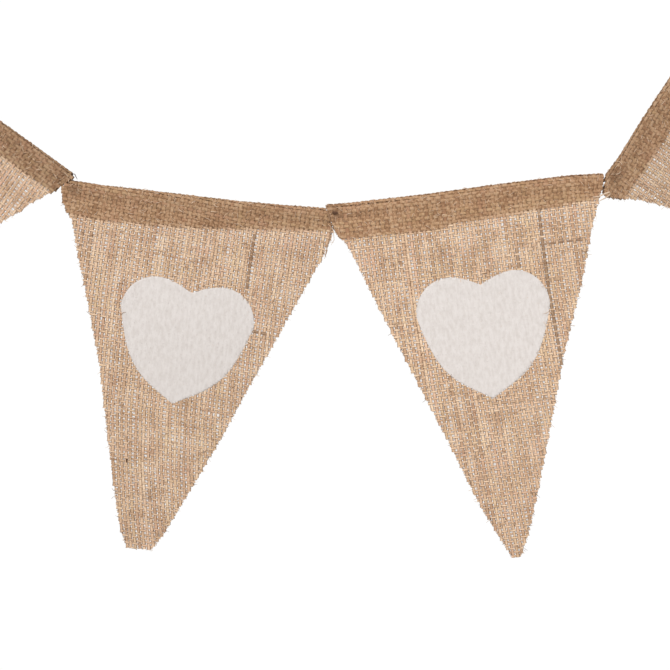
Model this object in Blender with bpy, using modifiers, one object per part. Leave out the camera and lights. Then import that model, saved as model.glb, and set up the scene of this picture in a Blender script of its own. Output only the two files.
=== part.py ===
"""Burlap bunting: four raw-edged pennants, each folded over one jute string that sags between two loops.

Sizes are in millimetres and become metres when a point is placed. X runs along the garland, Z is up,
and the printed face of the cloth looks along -Y. The left loop hangs on its hook at the origin.
"""
import math
from collections import namedtuple

import bpy
import numpy as np

MM = 0.001
CLOTH_THICKNESS = 1.2
FOLD_RADIUS = 2.0           # middle of the cloth round the string
LAYER_SPREAD = 0.9          # middle of each layer from the plane of the string, below the tunnel
TUNNEL_CLOSE = 6.0          # length over which the layers come together
ARC_STEPS = 8
COLUMNS = 18
FLAP_STEPS = 4

STRING_RADIUS = 1.0
STRING_DEPTH = CLOTH_THICKNESS / 2 + FOLD_RADIUS    # string below the top of a hem
TAIL_TO_KNOT = 8.5
TAIL_TO_HOOK = 19.5
LOOP_HALF_WIDTH = 4.2
LOOP_TIP = 2.6              # loop's far end past the hook's middle
KNOT_SIZE = (3.3, 2.5, 2.7)
FREE_END = 9.0

CLOTH_COLOUR = (0.552, 0.370, 0.246, 1.0)
STRING_COLOUR = (0.402, 0.226, 0.128, 1.0)

Hang = namedtuple("Hang", "name x z tilt length lean cup")
PENNANTS = (
    Hang("pennant_1", 17.2, -9.5, -36.5, 139.9, -3.0, 1.6),
    Hang("pennant_2", 131.0, -97.6, -6.2, 134.5, 1.6, -1.5),
    Hang("pennant_3", 265.8, -110.2, 6.4, 147.0, -2.0, 1.4),
    Hang("pennant_4", 414.2, -93.5, 57.0, 127.2, 2.6, -1.6),
)

# The raw sides of each pennant: distance down from the fold, then where the left and right side are along it.
Row = namedtuple("Row", "down left right")
SIDES = {
    "pennant_1": [Row(*r) for r in (
        (0.0, 0.0, 139.9), (2.5, 0.2, 142.7), (6.0, 0.4, 141.4), (9.7, 0.7, 139.9), (13.0, 1.4, 138.8),
        (19.0, 3.2, 136.2), (27.0, 6.5, 132.4), (33.0, 9.0, 130.8), (44.0, 13.4, 125.9), (70.0, 22.4, 116.6),
        (100.0, 33.6, 105.2), (130.0, 44.2, 94.6), (160.0, 55.2, 83.4), (184.0, 63.8, 75.0), (190.0, 66.8, 72.2))],
    "pennant_2": [Row(*r) for r in (
        (0.0, 0.0, 134.5), (4.0, -5.0, 136.2), (7.0, -5.1, 137.5), (12.0, -3.5, 139.7), (16.0, -1.6, 139.3),
        (20.0, 1.7, 137.3), (26.0, 3.6, 135.9), (36.0, 6.2, 131.3), (57.0, 13.0, 122.3), (75.0, 18.4, 114.8),
        (94.0, 24.3, 106.3), (130.0, 32.3, 91.4), (164.0, 40.2, 75.6), (182.0, 45.2, 67.7), (189.0, 50.3, 63.5))],
    "pennant_3": [Row(*r) for r in (
        (0.0, 0.0, 147.0), (4.0, 0.6, 146.6), (8.0, 1.3, 145.2), (12.0, 2.2, 143.6), (16.0, 3.8, 142.3),
        (20.0, 6.8, 140.8), (26.0, 10.1, 138.5), (36.0, 13.6, 135.7), (57.0, 21.0, 128.9), (75.0, 28.0, 122.1),
        (94.0, 35.1, 115.2), (130.0, 49.1, 104.1), (164.0, 61.4, 93.3), (185.0, 70.2, 86.9), (196.0, 75.0, 81.6))],
    "pennant_4": [Row(*r) for r in (
        (0.0, 0.0, 127.2), (2.1, -4.0, 127.6), (3.8, -8.5, 127.9), (6.2, -10.7, 128.3), (13.8, -7.1, 127.2),
        (21.7, -2.6, 124.6), (30.5, 0.6, 121.2), (37.7, 2.3, 118.6), (60.0, 10.6, 110.2), (90.0, 21.4, 99.4),
        (120.0, 32.2, 88.4), (150.0, 43.2, 77.8), (176.0, 52.2, 68.6), (186.0, 55.6, 65.2), (190.5, 57.8, 62.8))],
}

# The turned flap behind each hem: distance along the fold, then how far down the flap reaches there.
Flap = namedtuple("Flap", "along down")
FLAPS = {
    "pennant_1": [Flap(*r) for r in ((0, 15.4), (50, 16.4), (100, 15.2), (143, 14.2))],
    "pennant_2": [Flap(*r) for r in ((-5, 18.4), (31, 18.3), (54, 17.9), (99, 14.1), (140, 11.4))],
    "pennant_3": [Flap(*r) for r in ((0, 18.9), (24, 18.6), (57, 19.6), (66, 16.9), (90, 16.9), (125, 15.0), (147, 12.5))],
    "pennant_4": [Flap(*r) for r in ((-11, 14.5), (40, 15.8), (90, 15.0), (129, 15.6))],
}

# How far the top of a hem dips below the straight line between its ends.
Sag = namedtuple("Sag", "along down")
SAGS = {
    "pennant_1": [Sag(*r) for r in ((0, 0.0), (45, 0.5), (95, 0.6), (140, 0.0))],
    "pennant_2": [Sag(*r) for r in ((0, 0.0), (17, 0.7), (46, 0.8), (89, 1.3), (112, 0.8), (134.5, 0.0))],
    "pennant_3": [Sag(*r) for r in ((0, 0.0), (12, 0.5), (53, 0.4), (87, -0.5), (130, -1.0), (147, 0.0))],
    "pennant_4": [Sag(*r) for r in ((0, 0.0), (10, 0.6), (35, 0.1), (80, 0.5), (127, 0.0))],
}

# The string inside each hem: distance along the fold, then how far the string lies below its usual depth.
Drop = namedtuple("Drop", "along below")
DROPS = {
    "pennant_1": [Drop(*r) for r in ((-6, 0.0), (30, 0.0), (70, 0.0), (105, 0.2), (122, 0.9), (133, 2.0), (141, 3.0))],
    "pennant_2": [Drop(*r) for r in ((-1.5, 0.0), (7, 0.0), (18, 0.0), (46, 0.0), (68, 0.0), (89, 0.0), (112, 0.0),
                                     (124, 0.1), (133, 0.4))],
    "pennant_3": [Drop(*r) for r in ((0.6, 2.0), (8, 1.3), (18, 0.4), (32, 0.0), (53, 0.0), (70, 0.0), (87, 0.0),
                                     (110, 0.0), (130, 0.4), (138, 0.8), (146, 1.1))],
    "pennant_4": [Drop(*r) for r in ((-1.6, 0.9), (3, 0.5), (10, 0.1), (20, 0.0), (50, 0.0), (90, 0.0), (133, 0.0))],
}


def clear_scene():
    for ob in list(bpy.data.objects):
        bpy.data.objects.remove(ob, do_unlink=True)


def material(name, colour, roughness):
    mat = bpy.data.materials.new(name)
    mat.use_nodes = True
    shader = mat.node_tree.nodes["Principled BSDF"]
    shader.inputs["Base Color"].default_value = colour
    shader.inputs["Roughness"].default_value = roughness
    shader.inputs["Metallic"].default_value = 0.0
    return mat


def table(rows, at):
    """Read a two-column table at a distance along it."""
    return float(np.interp(at, [r[0] for r in rows], [r[1] for r in rows]))


def smooth(x):
    x = min(max(x, 0.0), 1.0)
    return x * x * (3 - 2 * x)


def place(hang, along, down, depth):
    """Turn a pennant's own distances (mm) into a point of the part (m)."""
    a = math.radians(hang.tilt)
    x = hang.x + along * math.cos(a) + down * math.sin(a)
    z = hang.z + along * math.sin(a) - down * math.cos(a)
    return (x * MM, depth * MM, z * MM)


def billow(hang, across, down):
    """The soft curve of the hanging cloth in front of or behind its hem."""
    low = smooth((down - 22.0) / 170.0)
    return hang.lean * low + hang.cup * math.sin(math.pi * across) * smooth((down - 22.0) / 60.0) * (1 - low)


def side_at(hang, down):
    rows = SIDES[hang.name]
    downs = [r.down for r in rows]
    left = float(np.interp(down, downs, [r.left for r in rows]))
    right = float(np.interp(down, downs, [r.right for r in rows]))
    return left, right


def layer_gap(hang, along, down):
    """Half the distance between the two layers of a hem, held open as far down as the string lies."""
    close_from = STRING_DEPTH + table(DROPS[hang.name], along) + 0.4
    t = smooth((down - close_from) / TUNNEL_CLOSE)
    return FOLD_RADIUS + (LAYER_SPREAD - FOLD_RADIUS) * t


def hem_point(hang, across, down, side):
    """A point of one layer: side is -1 for the front and +1 for the turned flap."""
    left, right = side_at(hang, down)
    along = left + across * (right - left)
    dip = table(SAGS[hang.name], along) * (1 - smooth(down / 60.0))
    depth = side * layer_gap(hang, along, down) + billow(hang, across, down)
    return place(hang, along, down + dip, depth)


def fold_point(hang, across, turn):
    """A point of the fold over the string, turn running from the flap's side to the front."""
    down = CLOTH_THICKNESS / 2 + FOLD_RADIUS * (1 - math.sin(turn))
    left, right = side_at(hang, down)
    along = left + across * (right - left)
    dip = table(SAGS[hang.name], along)
    return place(hang, along, down + dip, FOLD_RADIUS * math.cos(turn))


def pennant_rows(hang):
    """Rows of points from the flap's edge, over the fold and down the front to the point of the pennant."""
    across = [i / COLUMNS for i in range(COLUMNS + 1)]
    rows = []
    for i in range(FLAP_STEPS):
        row = []
        for t in across:
            left, right = side_at(hang, 16.0)
            reach = table(FLAPS[hang.name], left + t * (right - left))
            down = STRING_DEPTH + (reach - STRING_DEPTH) * (1 - i / FLAP_STEPS)
            row.append(hem_point(hang, t, down, 1))
        rows.append(row)
    for i in range(ARC_STEPS + 1):
        turn = math.pi * i / ARC_STEPS
        rows.append([fold_point(hang, t, turn) for t in across])
    fronts = [d for d in (4.0, 5.5, 7.5, 9.7, 12.0, 16.0)]
    fronts += [r.down for r in SIDES[hang.name] if r.down > 18.0]
    for down in fronts:
        rows.append([hem_point(hang, t, down, -1) for t in across])
    return rows


def add_sheet(name, rows, thickness, collection, mat):
    """A sheet through rows of middle points, thickened evenly to both faces."""
    count = len(rows[0])
    points = [p for row in rows for p in row]
    faces = []
    for j in range(len(rows) - 1):
        for i in range(count - 1):
            a = j * count + i
            faces.append((a, a + 1, a + 1 + count, a + count))
    mesh = bpy.data.meshes.new(name)
    mesh.from_pydata(points, [], faces)
    mesh.update()
    ob = bpy.data.objects.new(name, mesh)
    collection.objects.link(ob)
    shell = ob.modifiers.new("Thickness", "SOLIDIFY")
    shell.thickness = thickness
    shell.offset = 0.0
    shell.use_even_offset = True
    shell.use_quality_normals = True
    mesh.materials.append(mat)
    return ob


def string_knots():
    """Points that the string passes in its four hems and on to both knots."""
    points = []
    for hang in PENNANTS:
        for row in DROPS[hang.name]:
            dip = table(SAGS[hang.name], row.along)
            points.append(place(hang, row.along, STRING_DEPTH + dip + row.below, 0.0))
    first, last = PENNANTS[0], PENNANTS[-1]
    start = place(first, -TAIL_TO_KNOT, STRING_DEPTH, 0.0)
    end = place(last, last.length + TAIL_TO_KNOT, STRING_DEPTH, 0.0)
    return [start] + points + [end]


def curve_through(points, per_span):
    """Read a smooth curve through the points, more closely where they lie close together."""
    p = np.array(points)
    p = np.vstack([2 * p[0] - p[1], p, 2 * p[-1] - p[-2]])
    out = []
    for i in range(1, len(p) - 2):
        a, b, c, d = p[i - 1:i + 3]
        ta, tb, tc = (max(np.linalg.norm(v), 1e-6) ** 0.5 for v in (b - a, c - b, d - c))
        m1 = (b - a) / ta - (c - a) / (ta + tb) + (c - b) / tb
        m2 = (c - b) / tb - (d - b) / (tb + tc) + (d - c) / tc
        m1, m2 = m1 * tb, m2 * tb
        steps = per_span if np.linalg.norm(c - b) < 16 * MM else 1
        for k in range(steps):
            t = k / steps
            h = (2 * t**3 - 3 * t**2 + 1, t**3 - 2 * t**2 + t, -2 * t**3 + 3 * t**2, t**3 - t**2)
            out.append(h[0] * b + h[1] * m1 + h[2] * c + h[3] * m2)
    out.append(p[-2])
    return out


def add_tube(name, points, radius, collection, mat):
    curve = bpy.data.curves.new(name, "CURVE")
    curve.dimensions = "3D"
    curve.bevel_depth = radius
    curve.bevel_resolution = 2
    curve.use_fill_caps = True
    line = curve.splines.new("POLY")
    line.points.add(len(points) - 1)
    for knot, p in zip(line.points, points):
        knot.co = (*p, 1.0)
    ob = bpy.data.objects.new(name, curve)
    collection.objects.link(ob)
    mesh = bpy.data.meshes.new_from_object(ob.evaluated_get(bpy.context.evaluated_depsgraph_get()))
    bpy.data.objects.remove(ob, do_unlink=True)
    tube = bpy.data.objects.new(name, mesh)
    collection.objects.link(tube)
    mesh.materials.clear()
    mesh.materials.append(mat)
    return tube


def loop_points(hang, start, way):
    """The teardrop loop past a knot, in the hem's own distances: way is -1 to the left and +1 to the right."""
    reach = TAIL_TO_HOOK - TAIL_TO_KNOT + LOOP_TIP
    points = []
    for k in range(15):
        turn = 2 * math.pi * k / 14
        out = reach * (1 - math.cos(turn)) / 2
        aside = LOOP_HALF_WIDTH * math.sin(turn) * (0.25 + 0.75 * out / reach) * 1.25
        points.append(place(hang, start + way * out, STRING_DEPTH + aside, 0.35 * math.cos(turn / 2) * 2))
    return points


def add_knot(name, hang, along, collection, mat):
    bpy.ops.mesh.primitive_uv_sphere_add(segments=16, ring_count=10, radius=1.0)
    knot = bpy.context.active_object
    knot.name = name
    for c in list(knot.users_collection):
        c.objects.unlink(knot)
    collection.objects.link(knot)
    knot.scale = tuple(s * MM for s in KNOT_SIZE)
    knot.rotation_euler = (0.0, -math.radians(hang.tilt), 0.0)
    knot.location = place(hang, along, STRING_DEPTH, 0.0)
    knot.data.materials.append(mat)
    return knot


def add_string(collection, tools, mat):
    body = add_tube("string", curve_through(string_knots(), 2), STRING_RADIUS * MM, collection, mat)
    first, last = PENNANTS[0], PENNANTS[-1]
    for hang, start, way in ((first, -TAIL_TO_KNOT, -1), (last, last.length + TAIL_TO_KNOT, 1)):
        side = "left" if way < 0 else "right"
        knot = add_knot("knot_" + side, hang, start, tools, mat)
        loop = add_tube("loop_" + side, loop_points(hang, start, way), STRING_RADIUS * MM, tools, mat)
        tail = [place(hang, start - way * k * 0.25 * FREE_END * 0.3, STRING_DEPTH + k * 0.25 * FREE_END * 0.95, -0.3 * k)
                for k in range(5)]
        free = add_tube("free_" + side, tail, STRING_RADIUS * MM, tools, mat)
        for piece in (knot, loop, free):
            piece.hide_render = True
            piece.display_type = "WIRE"
            join = body.modifiers.new(piece.name, "BOOLEAN")
            join.operation = "UNION"
            join.solver = "EXACT"
            join.object = piece
    return body


def main():
    clear_scene()
    scene = bpy.context.scene
    parts = bpy.data.collections.new("burlap_bunting")
    tools = bpy.data.collections.new("tools")
    scene.collection.children.link(parts)
    scene.collection.children.link(tools)
    cloth = material("burlap", CLOTH_COLOUR, 0.92)
    twine = material("jute_string", STRING_COLOUR, 0.85)
    for hang in PENNANTS:
        add_sheet(hang.name, pennant_rows(hang), CLOTH_THICKNESS * MM, parts, cloth)
    add_string(parts, tools, twine)


main()
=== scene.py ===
# %% [markdown]
# # A burlap bunting
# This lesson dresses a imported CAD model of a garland: raw-edged pennants of jute hessian, each folded over
# one string and printed with a white heart. The CAD solids are plain sheets. Here they become real woven
# cloth, yarn by yarn, because an open weave of thick yarn is what the eye reads first on burlap.

# %% Load the frame
import math
from collections import namedtuple

import bpy
import numpy as np
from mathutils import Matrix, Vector


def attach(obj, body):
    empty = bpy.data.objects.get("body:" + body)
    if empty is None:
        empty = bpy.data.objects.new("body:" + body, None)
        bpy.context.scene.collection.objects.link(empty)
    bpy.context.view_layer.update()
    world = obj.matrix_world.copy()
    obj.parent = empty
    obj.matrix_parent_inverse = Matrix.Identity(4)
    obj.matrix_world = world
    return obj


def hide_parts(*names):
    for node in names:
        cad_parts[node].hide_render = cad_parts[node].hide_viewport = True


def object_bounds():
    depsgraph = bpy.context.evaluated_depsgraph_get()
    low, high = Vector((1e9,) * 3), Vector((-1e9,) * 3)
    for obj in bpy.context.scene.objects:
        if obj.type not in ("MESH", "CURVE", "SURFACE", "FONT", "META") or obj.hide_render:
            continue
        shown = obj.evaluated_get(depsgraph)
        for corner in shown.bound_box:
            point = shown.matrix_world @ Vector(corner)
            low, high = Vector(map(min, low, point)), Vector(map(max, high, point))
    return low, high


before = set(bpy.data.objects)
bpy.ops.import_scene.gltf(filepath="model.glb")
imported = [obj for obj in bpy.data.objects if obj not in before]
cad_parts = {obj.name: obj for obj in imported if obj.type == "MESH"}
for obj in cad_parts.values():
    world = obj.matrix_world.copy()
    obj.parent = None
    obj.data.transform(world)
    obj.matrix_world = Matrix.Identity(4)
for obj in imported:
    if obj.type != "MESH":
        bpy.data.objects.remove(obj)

MM = 0.001
cad_low, cad_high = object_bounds()
print("CAD box", [round(v, 4) for v in cad_low], [round(v, 4) for v in cad_high])

# %% [markdown]
# ## The camera
# The photograph looks straight at the garland from some distance, so a long lens is right: a short one
# would show the insides of the hems. One could use an orthographic camera, but a real lens keeps its slight
# convergence. The view is 355 mm wide, so the distance follows from the lens and the sensor.

# %% Camera
VIEW_WIDTH = 355.1 * MM
VIEW_CENTRE = (269.9 * MM, -179.6 * MM)
LENS = 85.0
SENSOR = 36.0
FRONT_OF_CLOTH = -1.5 * MM

camera_data = bpy.data.cameras.new("camera")
camera_data.lens = LENS
camera_data.sensor_width = SENSOR
camera_data.clip_start = 0.01
camera = bpy.data.objects.new("camera", camera_data)
bpy.context.scene.collection.objects.link(camera)
distance = VIEW_WIDTH * LENS / SENSOR
camera.location = (VIEW_CENTRE[0], FRONT_OF_CLOTH - distance, VIEW_CENTRE[1])
camera.rotation_euler = (math.radians(90), 0, 0)
bpy.context.scene.camera = camera
print(f"camera {distance:.3f} m in front of the cloth")

# %% [markdown]
# ## The light
# The photograph is a cut-out on pure white with hardly a shadow, as under a big soft tent. A white world
# does that. The camera sees the world at full white while the cloth gets a little less of it, and one large
# soft lamp from the upper left gives each yarn a bright and a dim side. The floor lies far below, where a
# garland hangs in a room.

# %% World, lamps and floor
SEEN_WHITE = 1.02           # a little over white, so that the background can't look grey
WORLD_LIGHT = 0.54
WORLD_TINT = (1.0, 0.99, 0.975, 1)
Lamp = namedtuple("Lamp", "name power size spot")
LAMPS = (Lamp("key", 12.0, 0.5, (-0.35, -1.0, 0.75)), Lamp("fill", 2.5, 0.8, (1.1, -1.0, 0.1)))
FLOOR_BELOW = 1.25
FLOOR_RADIUS = 2.6
FLOOR_COLOUR = (0.93, 0.93, 0.92, 1)

scene = bpy.context.scene
scene.view_settings.view_transform = "Standard"
scene.view_settings.look = "None"
world = bpy.data.worlds.new("studio")
scene.world = world
world.use_nodes = True
sky = world.node_tree
sky.nodes.clear()
either = sky.nodes.new("ShaderNodeMixShader")
for place_in_mix, tint, strength in ((1, WORLD_TINT, WORLD_LIGHT), (2, (1, 1, 1, 1), SEEN_WHITE)):
    light = sky.nodes.new("ShaderNodeBackground")
    light.inputs["Color"].default_value = tint
    light.inputs["Strength"].default_value = strength
    sky.links.new(light.outputs[0], either.inputs[place_in_mix])
sky.links.new(sky.nodes.new("ShaderNodeLightPath").outputs["Is Camera Ray"], either.inputs["Fac"])
sky.links.new(either.outputs[0], sky.nodes.new("ShaderNodeOutputWorld").inputs["Surface"])


def soft_lamp(name, power, size, spot, aim):
    """An area lamp at spot that looks at aim."""
    data = bpy.data.lights.new(name, "AREA")
    data.energy = power
    data.size = size
    lamp = bpy.data.objects.new(name, data)
    lamp.location = spot
    lamp.rotation_euler = (Vector(aim) - Vector(spot)).to_track_quat("-Z", "Y").to_euler()
    scene.collection.objects.link(lamp)


for lamp in LAMPS:
    soft_lamp(*lamp, aim=(VIEW_CENTRE[0], 0.0, VIEW_CENTRE[1]))

bpy.ops.mesh.primitive_circle_add(vertices=96, radius=FLOOR_RADIUS, fill_type="NGON",
                                  location=(VIEW_CENTRE[0], 0.0, cad_low.z - FLOOR_BELOW))
floor = bpy.context.active_object
floor.name = "floor"
pale = bpy.data.materials.new("pale_floor")
pale.use_nodes = True
for socket, value in (("Base Color", FLOOR_COLOUR), ("Roughness", 0.9)):
    pale.node_tree.nodes["Principled BSDF"].inputs[socket].default_value = value
floor.data.materials.append(pale)
print("floor at", round(cad_low.z - FLOOR_BELOW, 3))

# %% [markdown]
# ## The hanging shape
# Each pennant's cloth is worked out flat and then laid on its hanging shape, the way the real one was cut
# flat, folded over the string and glued down. Flat, a point has a distance along the hem and a distance
# down from the fold, negative on the flap behind. The tables below follow the CAD's own sizes in
# millimetres, to within two at the points of the two middle pennants, so that the woven cloth lies along
# the solid that it stands for.

# %% Sizes and tables of the pennants
CLOTH_THICKNESS = 1.2
FOLD_RADIUS = 2.0
LAYER_SPREAD = 0.9
TUNNEL_CLOSE = 6.0
STRING_DEPTH = CLOTH_THICKNESS / 2 + FOLD_RADIUS
QUARTER = FOLD_RADIUS * math.pi / 2
FOLD_RISE = 0.35            # the yarns stand a little proud along the top of the hem
TUNNEL_SLACK = 0.4          # how far under the string the two layers start to close
DIP_FADE = 60.0             # how far down the hem's own dips are still felt
BILLOW_FROM = 22.0          # the cloth hangs flat down to here, and billows below
LEAN_LENGTH = 170.0
CUP_LENGTH = 60.0

Hang = namedtuple("Hang", "name x z tilt length lean cup")
PENNANTS = (
    Hang("pennant_1", 17.2, -9.5, -36.5, 139.9, -3.0, 1.6),
    Hang("pennant_2", 131.0, -97.6, -6.2, 134.5, 1.6, -1.5),
    Hang("pennant_3", 265.8, -110.2, 6.4, 147.0, -2.0, 1.4),
    Hang("pennant_4", 414.2, -93.5, 57.0, 127.2, 2.6, -1.6),
)
# down, left, right
SIDES = {
    "pennant_1": ((0.0, 0.0, 139.9), (2.5, 0.2, 142.7), (6.0, 0.4, 141.4), (9.7, 0.7, 139.9),
                  (13.0, 1.4, 138.8), (19.0, 3.2, 136.2), (27.0, 6.5, 132.4), (33.0, 9.0, 130.8),
                  (44.0, 13.4, 125.9), (70.0, 22.4, 116.6), (100.0, 33.6, 105.2), (130.0, 44.2, 94.6),
                  (160.0, 55.2, 83.4), (184.0, 63.8, 75.0), (190.0, 66.8, 72.2)),
    "pennant_2": ((0.0, 0.0, 134.5), (4.0, -5.0, 136.2), (7.0, -5.1, 137.5), (12.0, -3.5, 139.7),
                  (16.0, -1.6, 139.3), (20.0, 1.7, 137.3), (26.0, 3.6, 135.9), (36.0, 6.2, 131.3),
                  (57.0, 13.0, 122.3), (75.0, 18.4, 114.8), (94.0, 24.3, 106.3), (130.0, 32.3, 91.4),
                  (164.0, 40.2, 75.6), (182.0, 45.2, 67.4), (190.6, 49.2, 61.8)),
    "pennant_3": ((0.0, 0.0, 147.0), (4.0, 0.6, 146.6), (8.0, 1.3, 145.2), (12.0, 2.2, 143.6),
                  (16.0, 3.8, 142.3), (20.0, 6.8, 140.8), (26.0, 10.1, 138.5), (36.0, 13.6, 135.7),
                  (57.0, 21.0, 128.9), (75.0, 28.0, 122.1), (94.0, 35.1, 115.2), (130.0, 49.1, 104.1),
                  (164.0, 61.4, 93.3), (185.0, 70.8, 86.3), (197.0, 76.6, 80.6)),
    "pennant_4": ((0.0, 0.0, 127.2), (2.1, -4.0, 127.6), (3.8, -8.5, 127.9), (6.2, -10.7, 128.3),
                  (13.8, -7.1, 127.2), (21.7, -2.6, 124.6), (30.5, 0.6, 121.2), (37.7, 2.3, 118.6),
                  (60.0, 10.6, 110.2), (90.0, 21.4, 99.4), (120.0, 32.2, 88.4), (150.0, 43.2, 77.8),
                  (176.0, 52.2, 68.6), (186.0, 55.6, 65.2), (190.5, 57.8, 62.8)),
}
# along, down: how far the turned flap reaches
FLAPS = {
    "pennant_1": ((0, 15.4), (50, 16.4), (100, 15.2), (143, 14.2)),
    "pennant_2": ((-5, 18.4), (31, 18.3), (54, 17.9), (99, 14.1), (140, 11.4)),
    "pennant_3": ((0, 18.9), (24, 18.6), (57, 19.6), (66, 16.9), (90, 16.9), (125, 15.0), (147, 12.5)),
    "pennant_4": ((-11, 14.5), (40, 15.8), (90, 15.0), (129, 15.6)),
}
# along, down: how far the top of the hem dips
SAGS = {
    "pennant_1": ((0, 0.0), (45, 0.5), (95, 0.6), (140, 0.0)),
    "pennant_2": ((0, 0.0), (17, 0.7), (46, 0.8), (89, 1.3), (112, 0.8), (134.5, 0.0)),
    "pennant_3": ((0, 0.0), (12, 0.5), (53, 0.4), (87, -0.5), (130, -1.0), (147, 0.0)),
    "pennant_4": ((0, 0.0), (10, 0.6), (35, 0.1), (80, 0.5), (127, 0.0)),
}
# along, below: how far the string lies under its usual depth
DROPS = {
    "pennant_1": ((-6, 0.0), (30, 0.0), (70, 0.0), (105, 0.2), (122, 0.9), (133, 2.0), (141, 3.0)),
    "pennant_2": ((-1.5, 0.0), (7, 0.0), (18, 0.0), (46, 0.0), (68, 0.0), (89, 0.0), (112, 0.0), (124, 0.1),
                  (133, 0.4)),
    "pennant_3": ((0.6, 2.0), (8, 1.3), (18, 0.4), (32, 0.0), (53, 0.0), (70, 0.0), (87, 0.0), (110, 0.0),
                  (130, 0.4), (138, 0.8), (146, 1.1)),
    "pennant_4": ((-1.6, 0.9), (3, 0.5), (10, 0.1), (20, 0.0), (50, 0.0), (90, 0.0), (133, 0.0)),
}


def read(table, at, column=1):
    """A table's column at distances along its first column."""
    return np.interp(at, [row[0] for row in table], [row[column] for row in table])


def smooth(x):
    x = np.clip(x, 0.0, 1.0)
    return x * x * (3 - 2 * x)


print("cut areas follow from", len(PENNANTS), "outline tables")

# %% [markdown]
# The next helpers are the hanging shape itself. They take whole arrays of flat points at once, since a
# pennant has tens of thousands of them, and a loop over each point in Python would be slow.

# %% From flat cloth to hanging cloth
def down_of(reach):
    """How far below the top of the hem a point lies, from its distance over the fold."""
    reach = np.abs(reach)
    bent = CLOTH_THICKNESS / 2 + FOLD_RADIUS * (1 - np.cos(np.minimum(reach, QUARTER) / FOLD_RADIUS))
    return np.where(reach <= QUARTER, bent, STRING_DEPTH + reach - QUARTER)


def middle_of(hang, along, reach):
    """The middle of the cloth, in metres, for flat points in millimetres."""
    down = down_of(reach)
    left = read(SIDES[hang.name], down, 1)
    right = read(SIDES[hang.name], down, 2)
    across = np.clip((along - left) / (right - left), -0.05, 1.05)
    dip = read(SAGS[hang.name], along) * (1 - smooth(down / DIP_FADE))
    close_from = STRING_DEPTH + read(DROPS[hang.name], along) + TUNNEL_SLACK
    half_gap = FOLD_RADIUS + (LAYER_SPREAD - FOLD_RADIUS) * smooth((down - close_from) / TUNNEL_CLOSE)
    low = smooth((down - BILLOW_FROM) / LEAN_LENGTH)
    cupped = hang.cup * np.sin(math.pi * across) * smooth((down - BILLOW_FROM) / CUP_LENGTH)
    billow = hang.lean * low + cupped * (1 - low)
    bent = -FOLD_RADIUS * np.sin(np.clip(reach, -QUARTER, QUARTER) / FOLD_RADIUS)
    depth = np.where(np.abs(reach) <= QUARTER, bent, -np.sign(reach) * half_gap + billow)
    a = math.radians(hang.tilt)
    fall = down + dip
    x = hang.x + along * math.cos(a) + fall * math.sin(a)
    z = hang.z + along * math.sin(a) - fall * math.cos(a)
    return np.stack([x, depth, z], axis=-1) * MM


def hang_points(hang, flat):
    """Lay flat points (along, reach, height over the cloth's middle, all mm) on the hanging shape."""
    along, reach, height = flat[:, 0], flat[:, 1], flat[:, 2]
    height = height + FOLD_RISE * np.clip(1 - np.abs(reach) / QUARTER, 0, 1)
    step = 0.35
    by_reach = middle_of(hang, along, reach + step) - middle_of(hang, along, reach - step)
    by_along = middle_of(hang, along + step, reach) - middle_of(hang, along - step, reach)
    out = np.cross(by_reach, by_along)
    out /= np.linalg.norm(out, axis=1, keepdims=True)
    return middle_of(hang, along, reach) + out * height[:, None] * MM


def inside(hang, along, reach):
    """True where the flat cloth was cut out."""
    down = down_of(reach)
    rows = SIDES[hang.name]
    kept = (along >= read(rows, down, 1)) & (along <= read(rows, down, 2))
    flap = read(FLAPS[hang.name], along)
    return kept & (down <= rows[-1][0]) & ((reach > 0) | (down <= flap))


def cut_area(hang):
    """The flat cut's area in square metres, and the size of the rectangle that it was cut from."""
    step = 0.5
    along, reach = np.meshgrid(np.arange(-15, 165, step), np.arange(-25, 205, step))
    held = inside(hang, along, reach)
    width = np.ptp(along[held])
    length = np.ptp(reach[held])
    return held.sum() * (step * MM) ** 2, (width * MM, length * MM)


for hang in PENNANTS:
    area, (width, length) = cut_area(hang)
    print(f"{hang.name}: cut {width * 1000:.0f} x {length * 1000:.0f} mm, {area * 1e4:.0f} square cm")

# %% [markdown]
# ## A thread, by Geometry Nodes
# Every yarn and every stray fibre here is the same thing: a small round or flattened section that follows a
# line. Geometry Nodes make that well: the lines come in as loose edges, each point says how far the thread
# rides over or under its neighbour and how thick it is there, and the tree turns them into tubes. A tube
# could also be a bevelled curve object, but then each yarn's own ups and downs would have to be typed in.

# %% A tree with named inputs
def new_tree(name, inputs):
    """A Geometry Nodes tree, a function that adds a node and returns one output, and the tree's inputs."""
    tree = bpy.data.node_groups.new(name, "GeometryNodeTree")
    face = tree.interface
    for label, kind in (("Geometry", "Geometry"), *inputs):
        face.new_socket(label, in_out="INPUT", socket_type="NodeSocket" + kind)
    face.new_socket("Geometry", in_out="OUTPUT", socket_type="NodeSocketGeometry")

    def node(kind, values=(), out=0, **settings):
        made = tree.nodes.new(kind)
        for key, value in settings.items():
            setattr(made, key, value)
        for key, value in dict(values).items():
            if isinstance(value, bpy.types.NodeSocket):
                tree.links.new(value, made.inputs[key])
            else:
                made.inputs[key].default_value = value
        return made.outputs[out]

    return tree, node, tree.nodes.new("NodeGroupInput").outputs


def close_tree(tree, node, geometry, finish):
    """Both trees end alike: real geometry, with its material on."""
    real = node("GeometryNodeRealizeInstances", {"Geometry": geometry})
    done = node("GeometryNodeSetMaterial", {"Geometry": real, "Material": finish})
    tree.links.new(done, tree.nodes.new("NodeGroupOutput").inputs[0])
    print(tree.name, "tree:", len(tree.nodes), "nodes")
    return tree


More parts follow.
